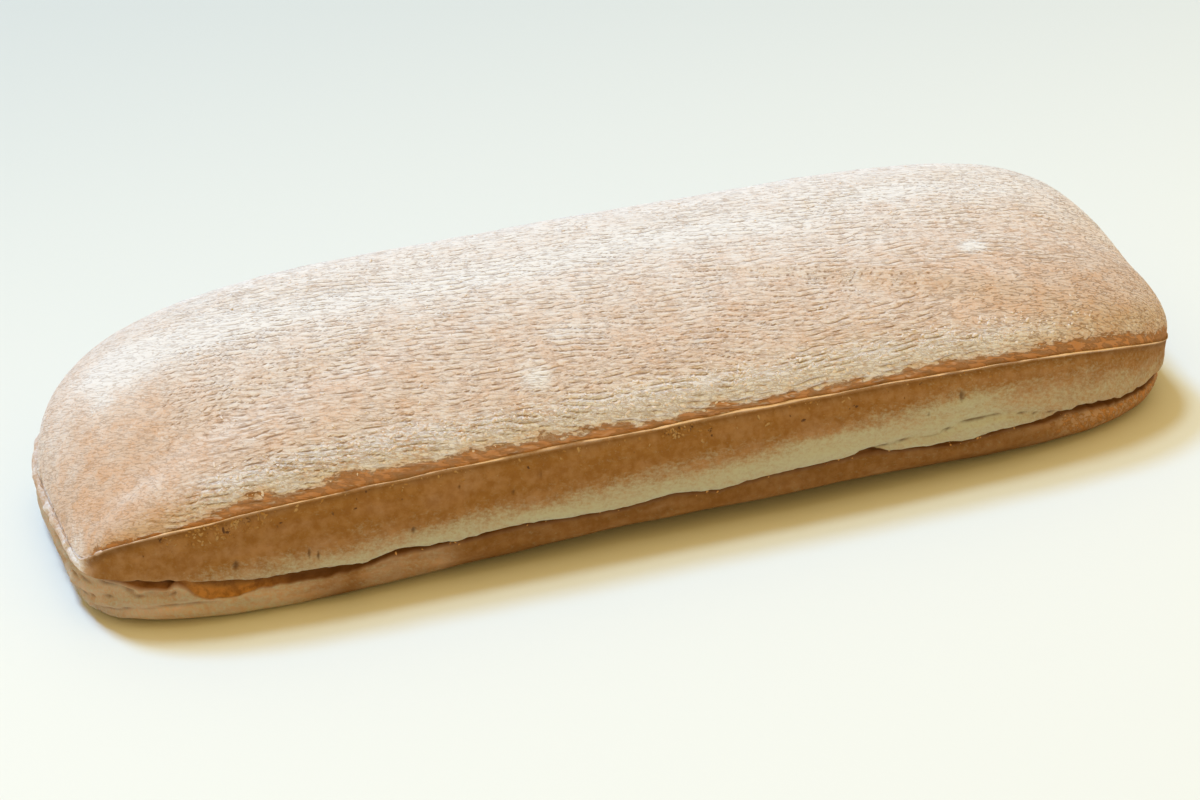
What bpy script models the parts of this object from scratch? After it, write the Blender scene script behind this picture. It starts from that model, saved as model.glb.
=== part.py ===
"""A whole ciabatta loaf: one uncut solid of bread, about 300 mm long.

X runs along the loaf, Y across it and Z up. The near side, at -Y, has the crisp crease and the split. The origin is
the middle of the loaf's outline, on the flat base. Lengths are in metres.

The skin is a box lattice. Its top face becomes the dome inside the crease, its walls the sides, from the crease past
the bulge, the split and the lower lip to the base's edge, and its bottom face the flat base. Each level of the side
is a superellipse in plan, with its own inset from the overall outline and its own squareness at each corner.
"""

import math
from dataclasses import dataclass, replace

import bmesh
import bpy
from mathutils import Vector, noise

# Overall size
LENGTH = 0.299
WIDTH = 0.097
HEIGHT = 0.0518

# Dome: how flat its top is, how steep its edge is, and the share of its height lost at each end
DOME_FLATNESS = 5.3
DOME_STEEPNESS = 2.5
END_DROOP_LEFT = 0.03  # how much lower the crown is at each end, as a share of the height
END_DROOP_RIGHT = 0.012

# The dome's near left corner is rounder and gentler: how much, and how soon its outlines turn round inside the crease
CORNER_FLATNESS = 1.6
CORNER_STEEPNESS = 0.6
RIGHT_FLATNESS = 1.0  # the same at the right end
RIGHT_STEEPNESS = 0.3
CORNER_REACH = 3.0

# The dome's near side is a plain arch on a sharp edge: the edge's share of the rise, and how flat the edge is
ARCH_EDGE = 0.45
ARCH_FLATNESS = 12

# Crease round the edge of the top skin, which falls towards the ends, and its thin standing lip
CREASE_HEIGHT = 0.0312
CREASE_FALL_LEFT = 0.0078
CREASE_FALL_RIGHT = 0.0130
CREASE_FALL_POWER = 4.7
TIP_FALL_LEFT = 0.0082  # further fall across the left end, past its near corner
TIP_FALL_RIGHT = 0.0020
TIP_FALL_POWER = 14
CREASE_LIP = 0.0006

# Split along the side, where the dough burst in the oven
SPLIT_HEIGHT = 0.0120
SPLIT_FALL_LEFT = -0.0006
SPLIT_FALL_RIGHT = 0.0026
SPLIT_FALL_POWER = 3.5
SPLIT_GAP = 0.0024
SPLIT_DEPTH = 0.0034

# How far the base tucks under the lower lip along the near side
TUCK_LEFT = 0.0065
TUCK_MIDDLE = 0.0135
TUCK_RIGHT = 0.0080

# Height of the lower lip's belly as a share of the split's, and how round the curve from it to the base is where the
# tuck is least and where it is most
BELLY_SHARE = 0.57
ROUND_BELLY = 2.0
FLAT_BELLY = 1.25

# Slow unevenness of the dough
SWELL = 0.0005
SWELL_SPAN = 0.055

# Slight bend of the loaf in plan
BEND = 0.0008

# Steps of the lattice along and across the loaf
STEPS_LENGTH = 64
STEPS_WIDTH = 20


@dataclass(frozen=True)
class Level:
    """One level of the side: insets from the overall outline, and squareness at the four corners."""

    left: float
    right: float
    near: float
    far: float
    near_left: float
    far_left: float
    near_right: float
    far_right: float


CREASE = Level(0.0010, 0.0015, 0.0036, 0.0036, 8.0, 3.5, 5.0, 5.6)
ROUNDED = replace(CREASE, near_left=3.2, near_right=3.6)  # the outlines that the dome has further in
BULGE = Level(0.0, 0.0, 0.0, 0.0, 6.0, 3.9, 3.9, 5.4)
LIP = Level(0.0006, 0.0015, 0.0014, 0.0014, 6.0, 3.9, 3.9, 5.4)
BASE = Level(0.0065, 0.0070, 0.0, 0.0065, 5.4, 4.1, 3.9, 5.4)


def smooth(share):
    """0 to 1 as share goes from 0 to 1, level at both ends."""
    share = min(1.0, max(0.0, share))
    return share * share * (3 - 2 * share)


def between(low, high, value):
    """0 below low and 1 above high, smooth in between."""
    return smooth((value - low) / (high - low))


def plan_point(u, v, level, more=0.0, tuck=0.0):
    """Where the lattice wall at (u, v) meets the level's outline, moved in by more, and by tuck on the near side."""
    if u < 0:
        half_length, square = LENGTH / 2 - level.left, level.near_left if v < 0 else level.far_left
    else:
        half_length, square = LENGTH / 2 - level.right, level.near_right if v < 0 else level.far_right
    half_width = WIDTH / 2 - (level.near + tuck if v < 0 else level.far)
    pull = (abs(u) ** square + abs(v) ** square) ** (-1 / square)
    x = (half_length - more) * u * pull
    return x, (half_width - more) * v * pull


def bent(x, y, z):
    """The point with the loaf's slight bend in plan."""
    return x, y - BEND * ((2 * x / LENGTH) ** 2 - 0.4), z


def crease_height(x, y):
    share = min(1.0, 2 * abs(x) / LENGTH)
    fall, tip_fall = (CREASE_FALL_LEFT, TIP_FALL_LEFT) if x < 0 else (CREASE_FALL_RIGHT, TIP_FALL_RIGHT)
    past_corner = smooth((y + 0.46 * WIDTH) / (0.16 * WIDTH))
    return CREASE_HEIGHT - fall * share**CREASE_FALL_POWER - tip_fall * past_corner * share**TIP_FALL_POWER


def split_height(x):
    share = min(1.0, 2 * abs(x) / LENGTH)
    return SPLIT_HEIGHT - (SPLIT_FALL_LEFT if x < 0 else SPLIT_FALL_RIGHT) * share**SPLIT_FALL_POWER


def near_tuck(x):
    """The lower lip is full at the left end and tucked under beyond it."""
    share = 2 * x / LENGTH
    inwards = TUCK_LEFT + (TUCK_MIDDLE - TUCK_LEFT) * smooth((share + 0.85) / 0.85)
    return inwards + (TUCK_RIGHT - TUCK_MIDDLE) * smooth((share - 0.3) / 0.6)


def side_rows(u, v):
    """The points down the side at the lattice wall (u, v), from the crease to the base's edge."""
    crease = plan_point(u, v, CREASE)
    bulge = plan_point(u, v, BULGE)
    lip = plan_point(u, v, LIP)
    tuck = near_tuck(bulge[0])
    base = plan_point(u, v, BASE, tuck=tuck)
    top = crease_height(*crease)
    split = split_height(bulge[0])
    widest = split + 0.28 * (top - split)

    def part_way(start, end, share):
        return tuple(a + (b - a) * share for a, b in zip(start, end))

    def bulging(turn):
        """On the quarter round from the crease, at turn 0, to the widest place, at turn 1."""
        angle = turn * math.pi / 2
        return (*part_way(crease, bulge, math.sin(angle)), widest + (top - widest) * math.cos(angle))

    def tucking(turn):
        """On the curve from the lip's belly, at turn 0, to the base's edge, at turn 1."""
        angle = turn * math.pi / 2
        tucked = (tuck - TUCK_LEFT) / (TUCK_MIDDLE - TUCK_LEFT)
        power = 2 / (ROUND_BELLY + (FLAT_BELLY - ROUND_BELLY) * tucked)
        inwards, down = 1 - max(0.0, math.cos(angle)) ** power, math.sin(angle) ** power
        return (*part_way(lip, base, inwards), BELLY_SHARE * split * (1 - down))

    return [
        (*plan_point(u, v, CREASE, -CREASE_LIP), top),
        bulging(0.12),
        bulging(0.42),
        bulging(0.72),
        bulging(1.0),
        (*plan_point(u, v, BULGE, 0.1 * SPLIT_DEPTH), split + SPLIT_GAP / 2),
        (*plan_point(u, v, BULGE, SPLIT_DEPTH), split),
        (*plan_point(u, v, LIP, 0.2 * SPLIT_DEPTH), split - SPLIT_GAP / 2),
        tucking(0.0),
        tucking(0.35),
        tucking(0.7),
        tucking(1.0),
    ]


def dome_point(u, v, reach):
    """The point of the top skin at reach, from 0 in the middle to 1 at the crease, towards the wall (u, v)."""
    edge_x, edge_y, edge_z = side_rows(u, v)[0]
    round_x, round_y = plan_point(u, v, ROUNDED)
    x = (round_x + (edge_x - round_x) * reach**CORNER_REACH) * reach
    y = (round_y + (edge_y - round_y) * reach**CORNER_REACH) * reach
    crown = HEIGHT * (1 - (END_DROOP_LEFT if x < 0 else END_DROOP_RIGHT) * (2 * x / LENGTH) ** 4)
    crown += SWELL * noise.noise(Vector((x, y, 0)) / SWELL_SPAN)
    corner = between(0.5, 1.0, -u) * between(-0.2, 0.8, -v)
    right_end = between(0.6, 1.0, u) * (1 - between(-0.3, 0.3, v))
    flatness = DOME_FLATNESS - CORNER_FLATNESS * corner - RIGHT_FLATNESS * right_end
    steepness = DOME_STEEPNESS - CORNER_STEEPNESS * corner - RIGHT_STEEPNESS * right_end
    plain = (1 - reach**flatness) ** (1 / steepness)
    arched = ARCH_EDGE * (1 - reach**ARCH_FLATNESS) ** (1 / DOME_STEEPNESS) + (1 - ARCH_EDGE) * (1 - reach**2)
    near = between(0.4, 1.0, -v) * (1 - 0.6 * corner) * (1 - 0.85 * between(0.7, 1.0, u))
    return x, y, edge_z + (crown - edge_z) * (plain + (arched - plain) * near)


def even_reaches(half_span, steps):
    """Reaches from 0 to 1 whose points on the dome are evenly spaced along its skin."""
    samples = 400
    lengths = [0.0]
    last = 1.0
    for i in range(1, samples + 1):
        rise = (1 - (i / samples) ** DOME_FLATNESS) ** (1 / DOME_STEEPNESS)
        lengths.append(lengths[-1] + math.hypot(half_span / samples, (last - rise) * (HEIGHT - CREASE_HEIGHT)))
        last = rise
    reaches = []
    at = 0
    for step in range(steps + 1):
        wanted = lengths[-1] * step / steps
        while at < samples - 1 and lengths[at + 1] < wanted:
            at += 1
        reaches.append((at + (wanted - lengths[at]) / (lengths[at + 1] - lengths[at])) / samples)
    return reaches


def lattice(steps):
    """A closed cube from -1 to 1 cut into so many steps along X, Y and Z."""
    bm = bmesh.new()
    bmesh.ops.create_cube(bm, size=2)
    for axis, count in enumerate(steps):
        along = [e for e in bm.edges if abs((e.verts[0].co - e.verts[1].co)[axis]) > 1e-6]
        bmesh.ops.subdivide_edges(bm, edges=along, cuts=count - 1, use_grid_fill=True)
    return bm


def loaf_mesh():
    """The loaf's skin as a closed mesh."""
    reaches_x = even_reaches(LENGTH / 2, STEPS_LENGTH // 2)
    reaches_y = even_reaches(WIDTH / 2, STEPS_WIDTH // 2)
    last_row = len(side_rows(1, 0)) - 1
    bm = lattice((STEPS_LENGTH, STEPS_WIDTH, last_row))
    for vertex in bm.verts:
        u = math.copysign(reaches_x[round(abs(vertex.co.x) * STEPS_LENGTH / 2)], vertex.co.x)
        v = math.copysign(reaches_y[round(abs(vertex.co.y) * STEPS_WIDTH / 2)], vertex.co.y)
        row = round((1 - vertex.co.z) / 2 * last_row)
        reach = max(abs(u), abs(v))
        wall = (u / reach, v / reach) if reach > 0 else (1.0, 0.0)
        if row == 0 and reach < 1:
            vertex.co = bent(*dome_point(*wall, reach))
        elif reach < 1:
            x, y, z = side_rows(*wall)[last_row]
            vertex.co = bent(x * reach, y * reach, z)
        else:
            vertex.co = bent(*side_rows(*wall)[row])
    middle = [(min(v.co[i] for v in bm.verts) + max(v.co[i] for v in bm.verts)) / 2 for i in range(2)]
    bmesh.ops.translate(bm, vec=(-middle[0], -middle[1], 0), verts=bm.verts)
    mesh = bpy.data.meshes.new("loaf")
    bm.to_mesh(mesh)
    bm.free()
    mesh.shade_smooth()
    return mesh


def crust_material():
    """Pale brown crust, dull with flour."""
    material = bpy.data.materials.new("floured_crust")
    material.use_nodes = True
    shader = material.node_tree.nodes["Principled BSDF"]
    shader.inputs["Base Color"].default_value = (0.66, 0.44, 0.28, 1)
    shader.inputs["Roughness"].default_value = 0.85
    shader.inputs["Metallic"].default_value = 0.0
    return material


def main():
    for obj in list(bpy.data.objects):
        bpy.data.objects.remove(obj)
    loaf = bpy.data.objects.new("loaf", loaf_mesh())
    loaf.data.materials.append(crust_material())
    bpy.context.scene.collection.objects.link(loaf)


main()
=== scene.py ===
"""A whole ciabatta loaf: floured wrinkled skin, a crisp crease round it, a burst side and torn crumb."""

import itertools
import math
import random
from dataclasses import dataclass, replace
from functools import partial

import bmesh
import bpy
import numpy as np
from mathutils import Matrix, Vector
from mathutils.bvhtree import BVHTree


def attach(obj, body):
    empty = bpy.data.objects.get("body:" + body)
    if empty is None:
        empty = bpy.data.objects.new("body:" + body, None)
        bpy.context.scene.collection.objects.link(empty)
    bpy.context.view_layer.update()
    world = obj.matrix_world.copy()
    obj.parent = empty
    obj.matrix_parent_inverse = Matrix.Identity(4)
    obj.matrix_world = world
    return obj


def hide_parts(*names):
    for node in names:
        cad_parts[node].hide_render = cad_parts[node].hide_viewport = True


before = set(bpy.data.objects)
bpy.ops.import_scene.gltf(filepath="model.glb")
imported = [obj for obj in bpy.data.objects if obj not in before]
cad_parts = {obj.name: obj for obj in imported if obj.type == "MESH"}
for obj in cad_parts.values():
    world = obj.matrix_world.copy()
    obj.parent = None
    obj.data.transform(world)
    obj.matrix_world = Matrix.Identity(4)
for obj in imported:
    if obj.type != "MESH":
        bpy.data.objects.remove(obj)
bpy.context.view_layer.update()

MM = 0.001

# ---- The loaf's form, as in the CAD, in millimetres ----
LENGTH = 299.0
WIDTH = 97.0
HEIGHT = 51.8
DOME_FLATNESS = 5.3
DOME_STEEPNESS = 2.5
END_DROOP_LEFT = 0.03  # how much lower the crown is at the ends, as a share of the height
END_DROOP_RIGHT = 0.012
CORNER_FLATNESS = 1.6  # how much rounder and gentler the dome is at the near left corner
CORNER_STEEPNESS = 0.6
RIGHT_FLATNESS = 1.0  # the same at the right end
RIGHT_STEEPNESS = 0.3
CORNER_REACH = 3.0  # how soon the dome's outlines turn rounder inside the crease
ARCH_EDGE = 0.45  # share of the near side's rise that is a sharp edge; the rest is a plain arch
ARCH_FLATNESS = 12
ARCH_LOST_AT_CORNER = 0.6  # how much of the near side's arch is gone at the near left corner
ARCH_LOST_AT_RIGHT = 0.85  # and at the right end
CREASE_HEIGHT = 31.2
CREASE_FALL_LEFT = 7.8
CREASE_FALL_RIGHT = 13.0
CREASE_FALL_POWER = 4.7
TIP_FALL_LEFT = 8.2  # how much further it falls round the ends
TIP_FALL_RIGHT = 2.0
TIP_FALL_POWER = 14
LIP_PROUD = 0.34  # how far the crease's lip stands out
LIP_GAP = 0.12
LIP_SECTION = ((0.35, 0.85), (0.85, 0.45), (0.35, -0.65))  # its rows: out and up, as shares of that
WIDEST_SHARE = 0.28  # how far up from the split to the crease the side is widest
BULGE_OUT = 3.6
BULGE_RISE = 14
SPLIT_HEIGHT = 12.0
SPLIT_FALL_LEFT = -0.6
SPLIT_FALL_RIGHT = 2.6
SPLIT_FALL_POWER = 3.5
TUCK_LEFT = 6.5
TUCK_MIDDLE = 13.5
TUCK_RIGHT = 8.0
BELLY_SHARE = 0.57  # height of the lower lip's belly, as a share of the split's
BELLY_STRAIGHT = 0.3  # share of the rows below the split that run straight down to the belly
ROUND_BELLY = 2.0  # roundness of the curve from the belly to the base where the tuck is least
FLAT_BELLY = 1.25  # and where it is most
BEND = 0.8

# ---- How finely the skin is meshed ----
CELLS_ALONG = 256
CELLS_ACROSS = 220
LIP_ROWS = 3
BULGE_ROWS = 15
WALL_ROWS = 4
SPLIT_ROWS = 6
BELLY_ROWS = 13
SIDE_ROWS = LIP_ROWS + BULGE_ROWS + WALL_ROWS + SPLIT_ROWS + BELLY_ROWS
BASE_INSETS = (1.5, 5.0)  # the rings of the base inside its edge


@dataclass(frozen=True)
class Level:
    """One level of the side: insets from the overall outline, and squareness at the four corners."""

    left: float
    right: float
    near: float
    far: float
    near_left: float
    far_left: float
    near_right: float
    far_right: float


CREASE = Level(1.0, 1.5, 3.6, 3.6, 8.0, 3.5, 5.0, 5.6)
ROUNDED = replace(CREASE, near_left=3.2, near_right=3.6)  # the outlines that the dome has further in
BULGE = Level(0.0, 0.0, 0.0, 0.0, 6.0, 3.9, 3.9, 5.4)
LIP = Level(0.6, 1.5, 1.4, 1.4, 6.0, 3.9, 3.9, 5.4)
BASE = Level(6.5, 7.0, 0.0, 6.5, 5.4, 4.1, 3.9, 5.4)


# ---- Unevenness ----
def smooth(share):
    """0 to 1 as share goes from 0 to 1, level at both ends."""
    share = np.clip(share, 0, 1)
    return share * share * (3 - 2 * share)


def between(low, high, value):
    """0 below low and 1 above high, smooth in between."""
    return smooth((value - low) / (high - low))


def hump(away, width):
    """1 where away is 0, falling off to 0 within about twice the width."""
    return np.exp(-((away / width) ** 2))


def at_height(plan, height=0.0):
    """Places in plan, raised to their height."""
    return np.column_stack([plan, np.broadcast_to(height, len(plan))])


def dice(cells, seed):
    """A steady random number from 0 to 1 for each whole-numbered cell."""
    mixed = cells[:, 0] * 73856093 ^ cells[:, 1] * 19349663 ^ cells[:, 2] * 83492791 ^ seed * 2654435761
    for shift, factor in ((15, 2246822519), (13, 3266489917)):
        mixed = (mixed ^ (mixed >> shift)) * factor & 0xFFFFFFFF
    return (mixed ^ (mixed >> 16)) / 0xFFFFFFFF


def uneven(points, span, seed):
    """Smooth random unevenness, about -1 to 1, at each point. span is the size of its lumps in mm, as one
    number or one for each axis."""
    at = points / np.asarray(span, float)
    cell = np.floor(at).astype(np.int64)
    inside = at - cell
    ease = inside**3 * (inside * (inside * 6 - 15) + 10)
    total = np.zeros(len(points))
    for corner in itertools.product((0, 1), repeat=3):
        weight = np.prod(np.where(corner, ease, 1 - ease), axis=1)
        slope = np.stack([dice(cell + corner, seed * 8 + axis) for axis in range(3)], axis=1) * 2 - 1
        total += weight * ((inside - corner) * slope).sum(axis=1)
    return total * 1.8


def ripples(at, spacing, heading, lean, seed, waves=64, spread=0.2):
    """Wrinkles across the plane, like ripples in sand: many waves that all run nearly along one heading, in
    degrees from X, added up, so that the wrinkles wander, break off and join. Gives a vector for each point:
    it turns once from each wrinkle to the next, at angle 0 in its trough, and its length, about 1, is the
    wrinkle's depth there."""
    steady = random.Random(seed)
    total = np.zeros((2, len(at)))
    for _ in range(waves):
        pitch = spacing * math.exp(steady.gauss(0, spread))
        run = math.radians(steady.gauss(heading, lean))
        across = at[:, 1] * math.cos(run) - at[:, 0] * math.sin(run)
        angle = 2 * math.pi * (across / pitch + steady.random())
        total += np.cos(angle), np.sin(angle)
    return total.T / math.sqrt(waves)


def trough(ripple, half_width):
    """How deep in a wrinkle's trough each point lies, 0 to 1. half_width is a share of their spacing."""
    turn = np.arctan2(ripple[:, 1], ripple[:, 0]) / (2 * math.pi)
    return between(0.1, 1.1, np.hypot(*ripple.T)) * hump(turn, half_width)


# ---- The smooth form ----
def outline(u, v, level, more=0.0, tuck=0.0):
    """Where the walls at (u, v) meet the level's outline, moved in by more, and by tuck on the near side."""
    left, near = u < 0, v < 0
    half_length = LENGTH / 2 - np.where(left, level.left, level.right)
    half_width = WIDTH / 2 - np.where(near, level.near + tuck, level.far)
    square = np.where(
        left,
        np.where(near, level.near_left, level.far_left),
        np.where(near, level.near_right, level.far_right),
    )
    pull = (np.abs(u) ** square + np.abs(v) ** square) ** (-1 / square)
    return np.stack([(half_length - more) * u * pull, (half_width - more) * v * pull], axis=1)


def crease_height(at):
    """Height of the crease at each point of its outline: it falls towards the ends, and round them."""
    share = np.minimum(1, 2 * np.abs(at[:, 0]) / LENGTH)
    left = at[:, 0] < 0
    fall = np.where(left, CREASE_FALL_LEFT, CREASE_FALL_RIGHT)
    tip_fall = np.where(left, TIP_FALL_LEFT, TIP_FALL_RIGHT)
    past_corner = smooth((at[:, 1] + 0.46 * WIDTH) / (0.16 * WIDTH))
    return CREASE_HEIGHT - fall * share**CREASE_FALL_POWER - tip_fall * past_corner * share**TIP_FALL_POWER


def split_height(x):
    """Height of the split's middle line, without its unevenness."""
    share = np.minimum(1, 2 * np.abs(x) / LENGTH)
    return SPLIT_HEIGHT - np.where(x < 0, SPLIT_FALL_LEFT, SPLIT_FALL_RIGHT) * share**SPLIT_FALL_POWER


def near_tuck(x):
    """How far the base is tucked in under the near side."""
    share = 2 * x / LENGTH
    inwards = TUCK_LEFT + (TUCK_MIDDLE - TUCK_LEFT) * smooth((share + 0.85) / 0.85)
    return inwards + (TUCK_RIGHT - TUCK_MIDDLE) * smooth((share - 0.3) / 0.6)


def belly_curve(turn, tuck):
    """(in, down) shares of the way from the lip's belly, at turn 0, to the base's edge, at turn 1."""
    angle = turn * math.pi / 2
    power = 2 / (ROUND_BELLY + (FLAT_BELLY - ROUND_BELLY) * (tuck - TUCK_LEFT) / (TUCK_MIDDLE - TUCK_LEFT))
    return 1 - math.cos(angle) ** power, math.sin(angle) ** power


def even_shares(curve, steps):
    """Shares from 0 to 1 whose points on the curve are evenly spaced along it."""
    fine = np.linspace(0, 1, 2001)
    across, up = curve(fine)
    lengths = np.concatenate([[0], np.cumsum(np.hypot(np.diff(across), np.diff(up)))])
    return np.interp(np.linspace(0, lengths[-1], steps + 1), lengths, fine)


def evenly_spaced(grid, steps, curve):
    """Grid places from -1 to 1, moved so that there are even steps along the curve on both sides of 0."""
    share = np.interp(np.abs(grid), np.linspace(0, 1, steps + 1), even_shares(curve, steps))
    return np.copysign(share, grid)


def dome_section(half_span):
    """The dome's section from its middle to its edge, for spacing the mesh along the skin."""
    rise = HEIGHT - CREASE_HEIGHT
    return lambda reach: (half_span * reach, rise * (1 - reach**DOME_FLATNESS) ** (1 / DOME_STEEPNESS))


def bulge_section(turn):
    """The side's section from the crease, at turn 0, to the widest place, at turn 1."""
    angle = turn * math.pi / 2
    return BULGE_OUT * np.sin(angle), BULGE_RISE * np.cos(angle)


BULGE_TURNS = even_shares(bulge_section, BULGE_ROWS)

# ---- The burst along the side ----
# Opening of the split at places along the near side, in mm: how far above and below its line, and how deep
SPLIT_GAPE = (
    # along, above, below, depth
    (-149, 0.12, 0.1, 0.4),
    (-141, 0.2, 0.2, 0.8),
    (-137, 1.5, 1.2, 3.4),  # small dark hollow
    (-131, 1.6, 1.3, 3.4),
    (-128.6, 0.3, 0.2, 0.8),  # a flap of skin stands up here
    (-126, 1.2, 1.4, 3.4),
    (-123, 1.3, 3.9, 4.4),  # wide hollow, torn down into the crumb
    (-116, 1.2, 4.0, 4.4),
    (-108, 1.2, 2.6, 4.2),
    (-92, 1.0, 2.0, 3.6),
    (-82, 0.8, 1.2, 3.0),
    (-70, 0.9, 0.6, 3.0),
    (-45, 0.6, 0.5, 2.4),
    (-20, 0.45, 0.35, 1.8),
    (20, 0.35, 0.3, 1.5),
    (60, 0.45, 0.35, 1.8),
    (98, 0.7, 0.6, 2.6),
    (112, 1.0, 1.1, 3.4),
    (124, 1.1, 1.2, 3.4),
    (138, 1.3, 1.4, 3.8),
    (144, 0.9, 0.9, 2.6),
    (149, 0.4, 0.4, 1.4),
)
FAR_GAPE = (0.6, 0.5, 2.2)  # the same round the back, where it is a plain crack


def near_share(y):
    """1 on the near side and 0 from the loaf's middle on."""
    return 1 - between(-0.30 * WIDTH, -0.05 * WIDTH, y)


def gape(at):
    """(above, below, depth) of the split at each point of the loaf's outline."""
    along, *sizes = np.array(SPLIT_GAPE).T
    near = near_share(at[:, 1])
    flat = at_height(at)
    loose = 0.12 + 0.25 * between(-108, -90, at[:, 0])
    nibble = 1 + loose * (uneven(flat, 7, 21) + uneven(flat, 2.4, 22))
    plain = 0.6 + 0.3 * uneven(flat, 30, 23)
    return [
        np.maximum(0.1, nibble * (near * np.interp(at[:, 0], along, size) + (1 - near) * far * plain))
        for size, far in zip(sizes, FAR_GAPE)
    ]


# Height of the split's ragged line at places along the near side: (along, height)
SPLIT_LINE = (
    (-149.5, 13.0), (-146.5, 14.6), (-142, 14.6), (-137, 13.6), (-131, 13.1), (-128.5, 14.0),
    (-125, 12.6), (-110, 11.4), (-84, 10.7), (-75, 12.6), (-58, 11.8), (-42, 12.8),
    (-15, 11.6), (-3, 13.4), (10, 12), (25, 13.4), (52, 13.8), (77, 10.5),
    (93, 11.5), (104, 10.6), (112, 11.8), (127, 9.6), (149, 8.6),
)


def split_line(at):
    """Height of the split's line at each point of the outline. At the back it is level, with small steps."""
    flat = at_height(at)
    wander = 2.2 * uneven(flat, 19, 24) + 0.5 * uneven(flat, 5, 26)
    steps = np.floor(wander) + smooth((wander - np.floor(wander) - 0.35) / 0.3)
    near = near_share(at[:, 1])
    seen = np.interp(at[:, 0], *np.array(SPLIT_LINE).T) + 0.15 * steps
    return near * seen + (1 - near) * (split_height(at[:, 0]) + 0.55 * steps) + 0.25 * uneven(flat, 3, 25)


# The rows inside the split, from its roof to its floor, as shares of its opening: (depth, above, below)
SPLIT_SECTION = (
    (0.30, 0.75, 0),
    (0.70, 0.55, 0),
    (1.00, 0.15, 0),
    (0.85, 0, 0.35),
    (0.45, 0, 0.70),
    (0.10, 0, 1.0),
)
SPLIT_UPPER_ROWS = 4  # these go in from the side, and the rest from the lower lip


def side_row(u, v, row):
    """The points of one row of the side at the walls (u, v): row 1 is just outside the crease."""
    crease = outline(u, v, CREASE)
    bulge = outline(u, v, BULGE)
    top = crease_height(crease)
    line = split_line(bulge)
    above, below, depth = gape(bulge)
    widest = split_height(bulge[:, 0]) + WIDEST_SHARE * (top - split_height(bulge[:, 0]))
    flat = at_height(bulge)
    if row <= LIP_ROWS:
        near = 1 - between(-0.47 * WIDTH, -0.40 * WIDTH, bulge[:, 1])
        proud = (LIP_PROUD + 0.20 * uneven(flat, 9, 31) + 0.16 * uneven(flat, 3, 32)) * (0.2 + 0.8 * near)
        out, up = LIP_SECTION[row - 1]
        kink = 0.35 * uneven(flat, 11, 34) * near
        return at_height(outline(u, v, CREASE, -(proud * out + LIP_GAP)), top + LIP_GAP + kink + proud * up)
    row -= LIP_ROWS
    if row <= BULGE_ROWS:
        angle = BULGE_TURNS[row] * math.pi / 2
        plan = crease + (bulge - crease) * math.sin(angle)
        return at_height(plan, widest + (top - widest) * math.cos(angle))
    row -= BULGE_ROWS
    rim = np.minimum(line + above, widest - 0.3)
    if row <= WALL_ROWS:
        share = row / WALL_ROWS
        plan = outline(u, v, BULGE, 0.5 * share**3 * between(0, 4, top - rim))
        return at_height(plan, widest + (rim - widest) * share)
    row -= WALL_ROWS
    if row <= SPLIT_ROWS:
        inwards, up, down = SPLIT_SECTION[row - 1]
        level = BULGE if row <= SPLIT_UPPER_ROWS else LIP
        plan = outline(u, v, level, inwards * depth + 0.2)
        return at_height(plan, line + up * above - down * below)
    row -= SPLIT_ROWS
    share = row / BELLY_ROWS
    lip = outline(u, v, LIP)
    tuck = near_tuck(bulge[:, 0])
    base = outline(u, v, BASE, tuck=tuck)
    belly = BELLY_SHARE * split_height(bulge[:, 0])
    if share <= BELLY_STRAIGHT:
        part = share / BELLY_STRAIGHT
        floor_edge = line - below
        return at_height(outline(u, v, LIP, 0.25 * (1 - part)), floor_edge + (belly - floor_edge) * part)
    inwards, down = belly_curve((share - BELLY_STRAIGHT) / (1 - BELLY_STRAIGHT), tuck)
    return at_height(lip + (base - lip) * inwards[:, None], belly * (1 - down))


def dome(u, v, reach):
    """The points of the top skin at reach, 0 in the middle to 1 at the crease, towards the walls (u, v)."""
    edge, rounded = outline(u, v, CREASE), outline(u, v, ROUNDED)
    plan = (rounded + (edge - rounded) * reach[:, None] ** CORNER_REACH) * reach[:, None]
    droop = np.where(plan[:, 0] < 0, END_DROOP_LEFT, END_DROOP_RIGHT)
    crown = HEIGHT * (1 - droop * (2 * plan[:, 0] / LENGTH) ** 4)
    foot = crease_height(edge)
    corner = between(0.5, 1.0, -u) * between(-0.2, 0.8, -v)
    right_end = between(0.6, 1.0, u) * (1 - between(-0.3, 0.3, v))
    flatness = DOME_FLATNESS - CORNER_FLATNESS * corner - RIGHT_FLATNESS * right_end
    steepness = DOME_STEEPNESS - CORNER_STEEPNESS * corner - RIGHT_STEEPNESS * right_end
    plain = (1 - reach**flatness) ** (1 / steepness)
    sharp = (1 - reach**ARCH_FLATNESS) ** (1 / DOME_STEEPNESS)
    arched = ARCH_EDGE * sharp + (1 - ARCH_EDGE) * (1 - reach**2)
    near = between(0.4, 1.0, -v) * (1 - ARCH_LOST_AT_CORNER * corner)
    near *= 1 - ARCH_LOST_AT_RIGHT * between(0.7, 1.0, u)
    return at_height(plan, foot + (crown - foot) * (plain + (arched - plain) * near))


# ---- The skin's mesh ----
def finished(bm, name):
    """The bmesh as a mesh of that name."""
    mesh = bpy.data.meshes.new(name)
    bm.to_mesh(mesh)
    bm.free()
    return mesh


def placed(name, data):
    """A new object in the scene, with the data in it."""
    obj = bpy.data.objects.new(name, data)
    bpy.context.scene.collection.objects.link(obj)
    return obj


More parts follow.
